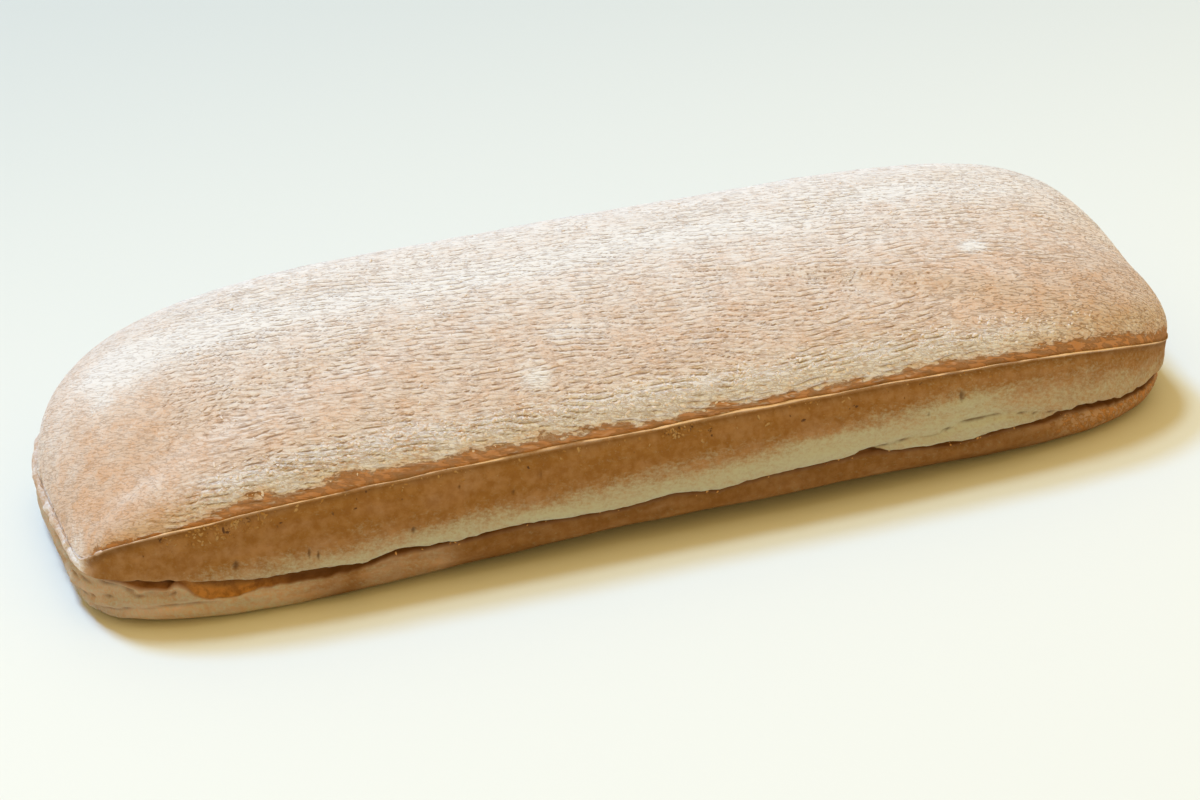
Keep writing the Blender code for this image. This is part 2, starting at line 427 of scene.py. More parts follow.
def skin_mesh():
    """The bare skin as a closed mesh, with grid coordinates still in its points: a top grid, its border drawn
    down row by row, and the base closed."""
    bm = bmesh.new()
    bmesh.ops.create_grid(bm, x_segments=CELLS_ALONG, y_segments=CELLS_ACROSS, size=1)
    border = [e for e in bm.edges if e.is_boundary]
    for row in range(1, SIDE_ROWS + len(BASE_INSETS) + 1):
        drawn = bmesh.ops.extrude_edge_only(bm, edges=border)["geom"]
        for item in drawn:
            if isinstance(item, bmesh.types.BMVert):
                item.co.z = -row
        border = [item for item in drawn if isinstance(item, bmesh.types.BMEdge) and item.is_boundary]
    bmesh.ops.contextual_create(bm, geom=border)
    bmesh.ops.recalc_face_normals(bm, faces=bm.faces)
    return finished(bm, "crust")


def read_points(mesh):
    """The mesh's points, one row each."""
    flat = np.empty(len(mesh.vertices) * 3, np.float32)
    mesh.vertices.foreach_get("co", flat)
    return flat.reshape(-1, 3).astype(float)


def write_points(mesh, points):
    """Moves the mesh's points to these places, in mm."""
    mesh.vertices.foreach_set("co", (points * MM).astype(np.float32).ravel())
    mesh.update()


def read_normals(mesh):
    """Which way is outwards at each point of the mesh."""
    flat = np.empty(len(mesh.vertices) * 3, np.float32)
    mesh.vertex_normals.foreach_get("vector", flat)
    return flat.reshape(-1, 3).astype(float)


class Skin:
    """The crust while it is shaped: its points in mm, the part of the loaf that each belongs to, how far each
    is still to be lifted outwards, and what the material is told there."""

    def __init__(self, mesh):
        grid = read_points(mesh)
        u = evenly_spaced(grid[:, 0], CELLS_ALONG // 2, dome_section(LENGTH / 2))
        v = evenly_spaced(grid[:, 1], CELLS_ACROSS // 2, dome_section(WIDTH / 2))
        reach = np.maximum(np.abs(u), np.abs(v))
        safe = np.maximum(reach, 1e-9)
        wall_u, wall_v = np.where(reach > 0, u / safe, 1.0), np.where(reach > 0, v / safe, 0.0)
        self.row = np.round(-grid[:, 2]).astype(int)
        self.points = np.zeros_like(grid)
        for row in range(SIDE_ROWS + len(BASE_INSETS) + 1):
            here = self.row == row
            if row == 0:
                self.points[here] = dome(wall_u[here], wall_v[here], reach[here])
            elif row <= SIDE_ROWS:
                self.points[here] = side_row(wall_u[here], wall_v[here], row)
            else:
                tuck = near_tuck(outline(wall_u[here], wall_v[here], BULGE)[:, 0])
                inset = BASE_INSETS[row - SIDE_ROWS - 1]
                self.points[here, :2] = outline(wall_u[here], wall_v[here], BASE, inset, tuck)
        self.points[:, 1] -= BEND * ((2 * self.points[:, 0] / LENGTH) ** 2 - 0.4)
        self.points[:, :2] -= (self.points[:, :2].min(axis=0) + self.points[:, :2].max(axis=0)) / 2
        write_points(mesh, self.points)
        self.outwards = read_normals(mesh)

        first_split = LIP_ROWS + BULGE_ROWS + WALL_ROWS
        self.top = self.row == 0
        self.lip = (self.row >= 1) & (self.row <= LIP_ROWS)
        self.side = (self.row > LIP_ROWS) & (self.row <= first_split)
        self.split = (self.row > first_split) & (self.row <= first_split + SPLIT_ROWS)
        self.belly = (self.row > first_split + SPLIT_ROWS) & (self.row <= SIDE_ROWS)
        self.base = self.row >= SIDE_ROWS
        self.into_split = np.where(self.split, self.row - first_split, 0)
        self.foot = crease_height(outline(wall_u, wall_v, CREASE))
        self.line = split_line(outline(wall_u, wall_v, BULGE))
        self.lift = np.zeros(len(grid))
        self.shares = {}

    def noise(self, span, seed):
        """Unevenness at each of the skin's points."""
        return uneven(self.points, span, seed)

    def tell(self, where, **shares):
        """Notes shares from 0 to 1 for the material, where they apply."""
        for name, values in shares.items():
            self.shares[name] = np.where(where, values, self.shares.get(name, 0.0))


# ---- What the top skin looks like ----
# Strong flour: (along, across, half length, half width, strength) on the top, in mm
FLOUR_PATCHES = (
    (-127, 9, 12, 11, 0.46),
    (-108, 9, 19, 8, 0.34),
    (-85, 9, 24, 6, 0.25),
    (-48, 7, 28, 5, 0.20),
    (-22, 9, 22, 6.0, 0.26),
    (8, 12, 26, 6.0, 0.26),
    (42, 10.5, 22, 6.0, 0.20),
    (86, 16, 18, 5, 0.30),
    (112, 13, 10, 5, 0.20),
    (92.5, -16, 4.4, 3.2, 0.65),
    (-33, -34, 5, 3.6, 0.45),
    (-20, -22, 8, 5, 0.22),
    (-134, -1, 4, 4, 0.22),
    (-128, -34, 12, 6, 0.12),
)

# Wrinkles of the top: their spacing in mm, and (heading, lean, seed) for the two ways in which they run
WRINKLE_SPACING = 2.0
LEVEL_WRINKLES = (-15, 11, 64)
RISING_WRINKLES = (6, 10, 65)


def dust_top(skin):
    """Flour over the top: thin in the middle, strong along the far shoulder, thicker over the far half partly
    as painted light, and a grey broken band above the bare strip that follows the crease."""
    x, y, z = skin.points.T
    cloud = 0.35 * skin.noise((30, 14, 14), 41) + 0.65 * skin.noise((10, 5, 5), 42)
    grit = skin.noise((4, 2.4, 2.4), 43)
    flour = 0.53 + 0.075 * cloud + 0.09 * grit + 0.06 * skin.noise((3.2, 13, 13), 40)
    # More flour over the far half of the top: partly flour, partly painted light that brightens it
    flour += 0.30 * between(-32, 16, y)
    flour -= 0.11 * between(50, 115, x) * (1 - between(10, 28, y)) + 0.23 * (1 - between(-140, -95, x))
    for along, across, half_long, half_wide, strength in FLOUR_PATCHES:
        away = np.hypot((x - along) / half_long, (y - across) / half_wide)
        flour += strength * (1 - between(0.0, 1.4, away + 0.30 * grit + 0.25 * cloud))

    # Red-brown skin without flour, just above the crease: tall at the left, a thin line at the right
    above_crease = z - skin.foot
    band = 0.6 + 2.9 * between(-136, -112, x) * (1 - 0.3 * between(-60, 0, x)) + 0.4 * between(60, 120, x)
    band = np.maximum(0.3, band + 1.5 * skin.noise((16, 9, 9), 44) + 0.9 * skin.noise((4.5, 3, 3), 45))
    end_seam = (1 - between(-147, -142, x)) * between(-38, -32, y)
    bare = (1 - between(0.5, 1.5, above_crease / band)) * (1 - end_seam)
    high = 1.2 * (1 - between(-70, -30, x))
    grey = between(1.1, 1.6, above_crease / band) * (1 - between(7, 12, above_crease - high)) * near_share(y)
    grey *= between(-136, -108, x) * (1 - 0.75 * between(70, 110, x))
    strong = 0.46 + 0.12 * between(-60, 0, x) - 0.22 * between(40, 110, x)
    flour += grey * (strong + 0.42 * skin.noise((9, 4, 4), 46))
    # Painted shade: a dark line along the dome's foot, just above the crease's lip
    crease_shade_line = (0.25 + 0.2 * between(-60, 20, x)) * (1 - between(0.2, 0.9, above_crease))
    skin.tell(
        skin.top,
        flour=flour,
        clump=0.08 + 0.62 * grey,
        dark=crease_shade_line * (1 - end_seam) * near_share(y),
        toast=0.08 + 0.08 * cloud + 0.22 * between(90, 140, x) * (1 - between(-30, 10, y)),
        bare=bare,
    )
    skin.lift -= 0.22 * bare * near_share(y) * skin.top


def wrinkle_top(skin):
    """Wrinkles about 2 mm apart that run along the loaf all over the top. laid is the top skin laid out flat.
    Where they would be too fine for the mesh, the material draws threads instead."""
    x, y, z = skin.points.T
    over_side, over_end = (2 * np.abs(y) / WIDTH) ** 4, (2 * np.abs(x) / LENGTH) ** 12
    sideways = over_side / (over_side + over_end + 0.01)
    drop = HEIGHT - z
    along = x + np.sign(x) * (1 - sideways) * drop
    across = y + np.sign(y) * sideways * drop - (1 - sideways) * drop
    laid = np.column_stack([along, across])
    laid[:, 1] += 1.2 * uneven(at_height(laid), (30, 18, 18), 63)
    flour, bare = skin.shares["flour"], skin.shares["bare"]
    covered = between(0.8, 1.3, flour)
    left_end = 1 - between(-146, -106, x)
    deep = (0.7 + 0.3 * between(-0.5, 0.3, skin.noise((22, 12, 12), 66))) * (1 - 0.5 * left_end)
    deep *= skin.top * (1 - 0.5 * covered) * (1 - 0.6 * bare) * (1 - 0.5 * between(14, 30, y))
    right_corner = between(68, 90, x) * between(-16, -28, y)
    too_fine = np.maximum(between(0.15, 0.45, np.abs(skin.outwards[:, 0])), 0.9 * right_corner)
    deep *= 1 - too_fine
    near_crease = between(-20, -40, y) * between(-30, 60, x)
    turned = between(0.2, 0.5, 0.5 * skin.noise((46, 24, 24), 67) + 0.8 * near_crease)[:, None]
    level = ripples(laid, WRINKLE_SPACING, *LEVEL_WRINKLES)
    rising = ripples(laid, WRINKLE_SPACING, *RISING_WRINKLES)
    wrinkle = (level * (1 - turned) + rising * turned) * deep[:, None]
    skin.tell(skin.top, threads=0.5 + 0.35 * too_fine * between(0, 50, x))
    skin.shares["wrinkle"] = wrinkle
    skin.shares["laid"] = laid
    skin.lift -= 0.16 * wrinkle[:, 0] + 0.20 * trough(wrinkle, 0.18)


# ---- What the side looks like ----
# How far below the crease the brown gives way to flour, and over what width, at places along the near side
BROWN_DEPTH = (
    (-150, 8.5, 9.0),
    (-115, 8.5, 10.0),
    (-60, 8.0, 10.0),
    (0, 6.0, 10.0),
    (45, 3.5, 10.0),
    (80, 1.5, 10.0),
    (150, 1.0, 10.0),
)


def brown_side(skin):
    """The side: red-brown under the crease, fading down into beige flour. The left end's wall is pale."""
    x, y, z = skin.points.T
    along, start, width = np.array(BROWN_DEPTH).T
    streak = skin.noise((24, 3, 3), 47)
    below = skin.foot - z + 1.6 * streak + 0.9 * skin.noise((5, 3, 3), 43)
    begin = np.interp(x, along, start)
    fade = between(0, 1, (below - begin) / np.interp(x, along, width))
    left_wall = (1 - between(-146, -138, x)) * between(-37, -31, y)
    seam = left_wall * hump(skin.foot - z, 2.5)
    thin = 0.34 * (1 - between(-108, -84, x)) + 0.28 * between(75, 110, x)
    rubbed = 0.12 * between(30, 95, x)
    mottle = skin.noise((9, 5, 5), 52)
    fine = skin.noise((1.6, 5, 5), 54)
    toast = 0.95 - 0.22 * fade + 0.08 * streak + 0.08 * mottle + 0.05 * fine
    flour = 0.04 + rubbed + (0.78 - thin - rubbed) * fade + 0.08 * streak + 0.06 * mottle + 0.06 * fine
    skin.tell(
        skin.side,
        toast=toast * (1 - 0.7 * left_wall),
        flour=flour + (0.36 + 0.12 * seam + 0.20 * mottle - flour) * left_wall,
        clump=0.25 - 0.05 * fade,
        baked=1 - left_wall,
        # painted shade: a dark line just below the crease's lip, where it overhangs
        dark=0.45 * (1 - between(0.3, 1.8, skin.foot - z)) * (1 - left_wall),
    )
    skin.lift += (0.12 * streak + 0.10 * mottle + 0.05 * fine) * skin.side


def colour_belly(skin):
    """The rolled edge below the split, floury at the left, golden at the right end and brown between, and the
    base."""
    x, y, z = skin.points.T
    pale = 1 - between(-106, -78, x)
    pale = np.maximum(pale, 0.55 * between(-88, -80, x) * (1 - between(-64, -56, x)))
    streak, thread = skin.noise((14, 3, 3), 49), skin.noise((12, 9, 1.3), 50)
    orange = between(88, 122, x) * near_share(y)
    toast = 0.95 - 0.62 * pale - 0.40 * orange + 0.08 * skin.noise((14, 4, 4), 48) + 0.12 * thread
    # Painted shade: darker towards the floor where the belly tucks under, and just below the split's rim;
    # dark also browns the belly all along
    under = 1 - between(0.5, 8.0, z)
    shade_under_rim = 0.75 * (1 - between(0.5, 2.4, skin.line - z)) * (1 - pale) * near_share(y)
    dark = (0.34 - 0.32 * orange + 0.45 * under) * (1 - 0.72 * pale) + 0.1 * thread
    skin.tell(
        skin.belly,
        toast=toast,
        flour=0.06 + 0.42 * pale + 0.10 * orange + 0.10 * streak + 0.12 * thread,
        bare=(0.45 + 0.2 * streak) * orange,
        clump=0.35,
        dark=np.maximum(dark, shade_under_rim),
    )
    skin.lift += (0.14 * streak + 0.12 * thread) * skin.belly
    skin.tell(skin.base, toast=0.35, flour=0.40, clump=1.0, dark=0.0)


def tear_split(skin):
    """Torn crumb inside the split, orange on its floor and brown in its roof, where painted shade darkens it,
    as it does the narrow split right of the wide hollow.
    """
    x = skin.points[:, 0]
    wide_hollow = between(-128, -122, x) * (1 - between(-112, -100, x))
    roof = 1 - between(0.8, 2.2, np.abs(skin.into_split - 2.6))
    skin.tell(
        skin.split,
        torn=np.where(skin.into_split == 1, 0.5, 1.0),
        bright=between(2.5, 5.0, skin.into_split) * (0.2 + 0.8 * wide_hollow),
        toast=0.5,
        flour=0.1,
        # painted shade: dark in the split's roof, and over the narrow split right of the wide hollow
        dark=np.maximum(0.9 * roof, 0.5 * between(-106, -96, x)),
    )
    skin.lift += 0.35 * skin.noise(1.9, 53) * skin.split * (skin.into_split > 1)


# The wavy fold above the right half of the split: (along, height)
RIGHT_FOLD = ((48, 13.9), (61, 15.3), (70, 15.0), (79, 16.9), (86, 17.0), (92, 15.6), (98, 14.2), (105, 12.5))

# Folds in the rolled edge at the left corner: (way round the corner from its left end, height)
CORNER_MIDDLE = (-125, -22)
CORNER_RADIUS = 24
FOLD_DEPTH = 0.9
CORNER_FOLDS = (
    ((-14, 6.0), (-4, 7.6), (3, 9.0), (10, 11.0), (16, 12.2), (23, 12.0)),
    ((-14, 10.0), (-2, 11.6), (8, 13.2), (14, 13.6)),
    ((2, 4.6), (12, 7.6), (20, 9.4), (28, 10.4), (34, 10.2)),
    ((12, 3.6), (22, 6.0), (34, 7.0), (44, 6.4)),
)

# Pits in the side: (along, height, half width, half height)
PITS = (
    (-114, 17.2, 0.9, 1.4),
    (-96, 17.1, 0.5, 1.5),
    (-94, 16.1, 0.5, 1.3),
    (-70, 18.1, 0.7, 1.0),
    (-44.6, 23, 0.6, 0.8),
    (-37.4, 26.2, 0.6, 1.2),
    (76.5, 24.6, 0.8, 1.6),
    (59.3, 24.4, 0.6, 0.7),
    (66.8, 21.5, 0.7, 0.6),
    (24, 20.5, 0.5, 0.6),
    (-58, 27, 0.5, 0.7),
)
CRACK_REACH = 9.0  # the distance in mm from a fold or a pit that the material is told as 1


def near_polyline(points, stops):
    """Distance in mm of the points from the line through the stops."""
    nearest = np.full(len(points), np.inf)
    for start, end in zip(np.array(stops, float), np.array(stops[1:], float)):
        run = end - start
        share = np.clip((points - start) @ run / (run @ run), 0, 1)
        nearest = np.minimum(nearest, np.linalg.norm(points - start - share[:, None] * run, axis=1))
    return nearest


def fold_side(skin):
    """Folds and pits in the near side. The material paints shade there as a dark line where crack, a
    distance, is small.
    """
    x, y, z = skin.points.T
    wavy = z + 0.5 * skin.noise(5, 75)
    facing = (y < -0.2 * WIDTH) & (skin.side | skin.split)
    away = near_polyline(np.column_stack([x, wavy]), RIGHT_FOLD)
    skin.lift -= FOLD_DEPTH * hump(away, 0.9) * facing
    crack = np.where(facing, away + 0.25, CRACK_REACH)
    below_fold = np.interp(x, *np.array(RIGHT_FOLD).T) - wavy
    roll = hump(below_fold - 1.7, 1.1) * between(46, 60, x) * (1 - between(94, 104, x))
    skin.lift += 0.55 * roll * facing
    right_of, past = x - CORNER_MIDDLE[0], CORNER_MIDDLE[1] - y
    turned = CORNER_RADIUS * np.arctan2(past, -right_of)
    beyond = np.where(right_of > 0, CORNER_RADIUS * math.pi / 2 + right_of, turned)
    around = np.where(past < 0, past, beyond)
    for stops in CORNER_FOLDS:
        away = near_polyline(np.column_stack([around, wavy]), stops)
        skin.lift -= (FOLD_DEPTH * hump(away, 1.1) - 0.35 * hump(away - 2.3, 1.0)) * skin.belly
        crack = np.where(skin.belly, np.minimum(crack, 0.5 * away + 0.35), crack)
    for along, height, half_wide, half_high in PITS:
        away = np.hypot((x - along) / half_wide, (z - height) / half_high)
        skin.lift -= 0.6 * hump(away, 1) * (facing & skin.side)
        crack = np.where(facing, np.minimum(crack, 0.6 * away), crack)
    skin.shares["crack"] = crack / CRACK_REACH


# Warts on the seam at the left end: (across, height, radius)
WARTS = ((24, 18.5, 1.5), (13, 17, 1.9), (9, 18.4, 1.2), (-9, 15.2, 1.4), (-21, 15.5, 1.0), (-2, 14.6, 1.0))
WHITE_CORNER = (-147.5, -28, 17)


def roughen_ends(skin):
    """A ragged, warty seam and a whitish corner at the left end, and a rough rim at the right end."""
    x, y, z = skin.points.T
    left_end, right_end = 1 - between(-145, -132, x), between(130, 143, x)
    seam = left_end * hump(z - skin.foot, 2.2) * (y > -38)
    skin.lift += seam * (0.8 * np.abs(skin.noise(3.4, 76)) - 0.1)
    flour = np.zeros(len(x))
    for across, height, radius in WARTS:
        wart = hump(np.hypot(y - across, z - height), radius) * left_end
        skin.lift += 0.9 * wart
        flour += 0.3 * wart
    away = np.linalg.norm(skin.points - WHITE_CORNER, axis=1) + 2.5 * skin.noise(4, 43)
    flour += 0.3 * (1 - between(2, 7, away)) * (skin.top | skin.lip | skin.side)
    skin.shares["flour"] += flour
    rim = right_end * (y < -10) * (skin.split | (skin.belly & (z > 5)))
    skin.lift += 0.5 * rim * np.abs(skin.noise(4.5, 77))


def swell(skin):
    """Slow swelling, lumps and grain all over."""
    raised = ~skin.base
    skin.lift += 0.35 * skin.noise(48, 71) + 0.16 * skin.noise(13, 72) * raised
    skin.lift += (0.05 * skin.noise(3.2, 73) + 0.03 * skin.noise(1.4, 74)) * raised


def finish_lip(skin):
    """The lip of the crease, pale where it stands proud: pale crust with a painted highlight on it."""
    x, y = skin.points[:, 0], skin.points[:, 1]
    end = np.maximum(1 - between(-147, -141, x), between(136, 145, x))
    worn_lip_and_line_shade = between(-0.75, -0.25, skin.noise((7, 7, 7), 33))
    pale = (0.1 + 0.9 * near_share(y) * (1 - end)) * worn_lip_and_line_shade * (skin.row < LIP_ROWS)
    skin.tell(skin.lip, lip=pale, flour=0.3, toast=0.6)


WORK_ON_SKIN = (
    dust_top,
    wrinkle_top,
    brown_side,
    colour_belly,
    tear_split,
    fold_side,
    finish_lip,
    roughen_ends,
    swell,
)
BASE_LIFT = 0.15  # how much of the unevenness the flat base has, round its edge


def crust():
    """The whole skin of the loaf as one closed mesh, with its wrinkles, crease, folds and split."""
    mesh = skin_mesh()
    skin = Skin(mesh)
    for work in WORK_ON_SKIN:
        work(skin)
    skin.tell(skin.split | skin.belly | skin.base, baked=1.0)
    shaped = skin.points + skin.outwards * (skin.lift * np.where(skin.base, BASE_LIFT, 1.0))[:, None]
    shaped[:, 2] = np.where(skin.base, 0, np.maximum(shaped[:, 2], 0))
    write_points(mesh, shaped)
    mesh.shade_smooth()
    for layer, values in skin.shares.items():
        if values.ndim == 1:
            kept = mesh.attributes.new(layer, "FLOAT", "POINT")
            kept.data.foreach_set("value", np.clip(values, 0, 1).astype(np.float32))
        else:
            kept = mesh.attributes.new(layer, "FLOAT_VECTOR", "POINT")
            kept.data.foreach_set("vector", at_height(values).astype(np.float32).ravel())
    return placed("crust", mesh)


# ---- Materials ----
def linear(hex_colour):
    """An sRGB hex value as linear RGBA."""
    parts = [int(hex_colour[i : i + 2], 16) / 255 for i in (1, 3, 5)]
    return (*(p / 12.92 if p <= 0.04045 else ((p + 0.055) / 1.055) ** 2.4 for p in parts), 1.0)


def add(tree, kind, inputs=None, out=0, **settings):
    """Adds a node with its settings, sets its inputs or links them, and gives one of its outputs."""
    node = tree.nodes.new("ShaderNode" + kind)
    for name, value in settings.items():
        setattr(node, name, value)
    for socket, value in (inputs or {}).items():
        if isinstance(value, bpy.types.NodeSocket):
            tree.links.new(value, node.inputs[socket])
        else:
            node.inputs[socket].default_value = value
    return node.outputs[out] if node.outputs else None


FLOUR = linear("#EEEBEC")
FLOUR_GREY = linear("#EAEBFC")
# Flour on the sides and below, darker and yellower than on the top: partly flour baked on, partly painted
# shade
FLOUR_BAKED_AND_SHADED = linear("#BFBEA9")
SKIN = linear("#DABDA8")
SKIN_TAN = linear("#DAB394")
RUST = linear("#C4864A")
TOASTED = linear("#9C7038")
TOASTED_RED = linear("#8F622F")
# Painted shade in the wrinkles' troughs and along the hairlines; on the net of fine cracks it is partly crust
# showing through
TROUGH_SHADE = linear("#8A6240")
# Scorched brown on the flakes, and painted shade on the crust: by the crease, in pits and folds, under the
# belly and in the split
SCORCHED_AND_SHADE = linear("#5A3A1E")
CRUMB = linear("#CE9450")
CRUMB_DARK = linear("#80502A")
# Pale crust on the crease's lip, with a painted highlight where it stands proud
LIP_PALE_HIGHLIGHT = linear("#FFE9DA")
CRUMB_PALE = linear("#CF9A5E")
FLAKE_PALE = linear("#A98658")

# A MapRange node turns 1 to 2 into 3 to 4, and a Mix node takes its colours at 6 and 7 and gives one at 2
EASED = {"interpolation_type": "SMOOTHSTEP"}
COLOURS = {"out": 2, "data_type": "RGBA", "clamp_factor": True}

# What the skin tells its material at each point
TOLD = ("flour", "clump", "toast", "bare", "torn", "bright", "lip", "baked", "dark", "crack", "threads")


def new_material(name, roughness, specular):
    """A new material, its shader, and put(), which adds a node to it."""
    material = bpy.data.materials.new(name)
    material.use_nodes = True
    shader = material.node_tree.nodes["Principled BSDF"]
    shader.inputs["Roughness"].default_value = roughness
    shader.inputs["Specular IOR Level"].default_value = specular
    return material, shader, partial(add, material.node_tree)


def places_in_mm(put):
    """The places on the piece in mm, for patterns that stay fixed to it."""
    place = put("TexCoord", out="Object")
    return put("Mapping", {"Vector": place, "Scale": (MM, MM, MM)}, vector_type="TEXTURE")


def off_middle(put, pattern, middle=0.5):
    """How far the pattern is from its middle, which it crosses along thin winding lines."""
    off = put("Math", {0: pattern, 1: middle}, operation="SUBTRACT")
    return put("Math", {0: off}, operation="ABSOLUTE")


def crust_material():
    """Flour-dusted bread crust, oven baked: dull brown skin shows through a broken film of white flour."""
    material, shader, put = new_material("floured_crust", 0.88, 0.25)
    mm = places_in_mm(put)
    laid = put("Attribute", out="Vector", attribute_name="laid")
    slanted = {"Vector": laid, "Rotation": (0, 0, math.radians(-15))}
    drawn = put("Mapping", {**slanted, "Scale": (1.8, 1.0, 1.0)}, vector_type="TEXTURE")
    combed = put("Mapping", {**slanted, "Scale": (3.5, 1.0, 1.0)}, vector_type="TEXTURE")
    told = {name: put("Attribute", out="Fac", attribute_name=name) for name in TOLD}

    tint = put("TexNoise", {"Vector": mm, "Scale": 1 / 5, "Detail": 3.0})
    mottle = put("TexNoise", {"Vector": mm, "Scale": 1 / 2.2, "Detail": 4.0, "Roughness": 0.6})
    clumps = put("TexNoise", {"Vector": drawn, "Scale": 1 / 0.9, "Detail": 4.0, "Roughness": 0.6})
    grain = put("TexNoise", {"Vector": mm, "Scale": 1 / 0.6, "Detail": 3.0, "Roughness": 0.7})
    ragged = put("TexNoise", {"Vector": drawn, "Scale": 1 / 1.3, "Detail": 4.0})
    hair = put("TexNoise", {"Vector": combed, "Scale": 1 / 1.3, "Detail": 2.0, "Distortion": 0.3})
    kinked = {"Detail": 3.0, "Roughness": 0.6, "Distortion": 0.6}
    crackle = put("TexNoise", {"Vector": drawn, "Scale": 1 / 1.7, **kinked})

    # Hair-fine wrinkles on the top, between those of the mesh: painted shade along their lines, painted
    # highlight between them
    from_hair = off_middle(put, hair)
    hairline = put("MapRange", {0: from_hair, 1: 0.0, 2: 0.05, 3: 1.0, 4: 0.0}, **EASED)
    between_hairs = put("MapRange", {0: from_hair, 1: 0.05, 2: 0.13}, **EASED)
    on_top = put("Math", {0: 1.0, 1: told["baked"]}, operation="SUBTRACT")

    # Bare skin above the crease, with a ragged edge that is darkest where the flour film ends: a painted
    # shadow line under the film's edge
    spill = put("MapRange", {0: ragged, 1: 0.3, 2: 0.7, 3: -0.36, 4: 0.36}, **EASED)
    edge = put("Math", {0: told["bare"], 1: spill}, operation="ADD")
    begun = put("MapRange", {0: told["bare"], 1: 0.0, 2: 0.25}, **EASED)
    edge = put("Math", {0: edge, 1: begun}, operation="MULTIPLY")
    bare = put("MapRange", {0: edge, 1: 0.38, 2: 0.62}, **EASED)
    rim_out = put("MapRange", {0: edge, 1: 0.25, 2: 0.42}, **EASED)
    rim_in = put("MapRange", {0: edge, 1: 0.42, 2: 0.60, 3: 1.0, 4: 0.0}, **EASED)
    rim = put("Math", {0: rim_out, 1: rim_in}, operation="MULTIPLY")

    # Baked skin
    tan = put("MapRange", {0: tint, 1: 0.42, 2: 0.60}, **EASED)
    skin = put("Mix", {0: tan, 6: SKIN, 7: SKIN_TAN}, **COLOURS)
    spots = put("MapRange", {0: mottle, 1: 0.2, 2: 0.8}, **EASED)
    brown = put("Mix", {0: spots, 6: TOASTED, 7: TOASTED_RED}, **COLOURS)
    spotted = put("MapRange", {0: mottle, 1: 0.3, 2: 0.7, 3: -0.06, 4: 0.06}, **EASED)
    toast = put("Math", {0: told["toast"], 1: spotted}, operation="ADD")
    skin = put("Mix", {0: toast, 6: skin, 7: brown}, **COLOURS)
    streaks = put("MapRange", {0: hair, 1: 0.30, 2: 0.62}, **EASED)
    rust = put("Mix", {0: streaks, 6: TOASTED_RED, 7: RUST}, **COLOURS)
    rusty = put("Math", {0: bare, 1: 0.85}, operation="MULTIPLY")
    skin = put("Mix", {0: rusty, 6: skin, 7: rust}, **COLOURS)

    # Film of flour: smooth where it is fine, broken into clumps where the clump share is high
    broken = put("MapRange", {0: clumps, 1: 0.32, 2: 0.68, 3: -0.6, 4: 0.6}, **EASED)
    broken = put("Math", {0: broken, 1: told["clump"]}, operation="MULTIPLY")
    dust = put("Math", {0: told["flour"], 1: broken}, operation="ADD")
    powder = put("MapRange", {0: grain, 1: 0.3, 2: 0.7, 3: -0.11, 4: 0.11}, **EASED)
    dust = put("Math", {0: dust, 1: powder}, operation="ADD")
    film = put("MapRange", {0: dust, 1: 0.10, 2: 1.05}, **EASED)
    kept = put("MapRange", {0: bare, 1: 0.0, 2: 1.0, 3: 1.0, 4: 0.12})
    film = put("Math", {0: film, 1: kept}, operation="MULTIPLY")
    white = put("Mix", {0: told["clump"], 6: FLOUR, 7: FLOUR_GREY}, **COLOURS)
    # Off the top the flour is darker and yellower: partly baked on, partly painted shade
    white = put("Mix", {0: told["baked"], 6: white, 7: FLOUR_BAKED_AND_SHADED}, **COLOURS)
    skin = put("Mix", {0: film, 6: skin, 7: white}, **COLOURS)

    # Wrinkles with painted shade in their troughs and a painted highlight on their crests, and a net of fine
    # cracks in the grey flour, partly painted shade
    ripple = put("Attribute", out="Vector", attribute_name="wrinkle")
    cosine = put("SeparateXYZ", {0: ripple}, out="X")
    sine = put("SeparateXYZ", {0: ripple}, out="Y")
    turn = put("Math", {0: put("Math", {0: sine, 1: cosine}, operation="ARCTAN2")}, operation="ABSOLUTE")
    length = put("VectorMath", {0: ripple}, out="Value", operation="LENGTH")
    deep = put("MapRange", {0: length, 1: 0.05, 2: 0.7}, **EASED)
    line = put("MapRange", {0: turn, 1: 0.0, 2: 1.0, 3: 1.0, 4: 0.0}, **EASED)
    line = put("Math", {0: line, 1: deep}, operation="MULTIPLY")
    # Painted highlight in flour white on the wrinkles' crests and between the hairlines, partly flour on the
    # crests
    crest_highlight = put("MapRange", {0: turn, 1: 0.9, 2: 2.4}, **EASED)
    crest_highlight = put("Math", {0: crest_highlight, 1: deep}, operation="MULTIPLY")
    thread = put("Math", {0: hairline, 1: on_top}, operation="MULTIPLY")
    thread = put("Math", {0: thread, 1: told["threads"]}, operation="MULTIPLY")
    net = put("MapRange", {0: off_middle(put, crackle), 1: 0.0, 2: 0.05, 3: 1.0, 4: 0.0}, **EASED)
    net = put("Math", {0: net, 1: told["clump"]}, operation="MULTIPLY")
    net_share = put("Math", {0: on_top, 1: 0.7}, operation="MULTIPLY")
    net = put("Math", {0: net, 1: net_share}, operation="MULTIPLY")
    line = put("Math", {0: line, 1: net}, operation="MAXIMUM")
    line = put("Math", {0: line, 1: thread}, operation="MAXIMUM")
    crest_highlight = put("Math", {0: crest_highlight, 1: between_hairs}, operation="MULTIPLY")
    crest_highlight = put("Math", {0: crest_highlight, 1: 0.52}, operation="MULTIPLY")
    # Painted shade: the wrinkles' troughs, the hairlines and the cracks drawn dark
    worn_lip_and_line_shade = put("Math", {0: line, 1: 0.72}, operation="MULTIPLY")

